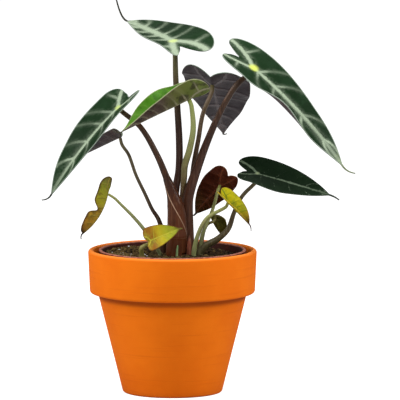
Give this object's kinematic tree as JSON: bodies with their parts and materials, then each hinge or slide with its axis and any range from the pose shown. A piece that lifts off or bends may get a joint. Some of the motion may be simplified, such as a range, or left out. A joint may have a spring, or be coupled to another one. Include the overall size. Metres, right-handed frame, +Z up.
{
  "type": "potted alocasia",
  "caption": "Alocasia with arrow-shaped veined leaves on slim stalks, growing from bark mix in a growing pot set inside a plain terracotta flower pot.",
  "frame": {"origin": "centre of the whole plant's bounding box, at the level the clay pot stands on", "axes": "+Z up; +X to the right and +Y to the back as the plant is seen from its front, where the widest pair of leaves spreads left and right"},
  "size_m": [0.2769, 0.1863, 0.3477],
  "materials": {
    "bud_sheath": "satin",
    "clay_pot": "matte",
    "front_blade": "satin",
    "front_stalk": "satin",
    "growing_mix": "matte",
    "growing_pot": "satin",
    "left_blade": "satin",
    "left_rear_blade": "satin",
    "left_rear_stalk": "satin",
    "left_stalk": "satin",
    "lower_right_blade": "satin",
    "lower_right_stalk": "satin",
    "rear_blade": "satin",
    "rear_stalk": "satin",
    "red_blade": "satin",
    "red_stalk": "satin",
    "right_blade": "satin",
    "right_stalk": "satin",
    "small_rear_blade": "satin",
    "small_rear_stalk": "satin",
    "sprout": "satin",
    "top_blade": "satin",
    "top_stalk": "satin",
    "withered_blade": "matte",
    "withered_stalk": "satin",
    "yellow_blade": "satin",
    "yellow_stalk": "satin",
    "young_blade": "satin",
    "young_stalk": "satin"
  },
  "bodies": {
    "root": {"bud_sheath": "bud_sheath", "clay_pot": "clay_pot", "front_blade": "front_blade", "front_stalk": "front_stalk", "growing_mix": "growing_mix", "growing_pot": "growing_pot", "left_blade": "left_blade", "left_rear_blade": "left_rear_blade", "left_rear_stalk": "left_rear_stalk", "left_stalk": "left_stalk", "lower_right_blade": "lower_right_blade", "lower_right_stalk": "lower_right_stalk", "rear_blade": "rear_blade", "rear_stalk": "rear_stalk", "red_blade": "red_blade", "red_stalk": "red_stalk", "right_blade": "right_blade", "right_stalk": "right_stalk", "small_rear_blade": "small_rear_blade", "small_rear_stalk": "small_rear_stalk", "sprout": "sprout", "top_blade": "top_blade", "top_stalk": "top_stalk", "withered_blade": "withered_blade", "withered_stalk": "withered_stalk", "yellow_blade": "yellow_blade", "yellow_stalk": "yellow_stalk", "young_blade": "young_blade", "young_stalk": "young_stalk"}
  },
  "joints": []
}
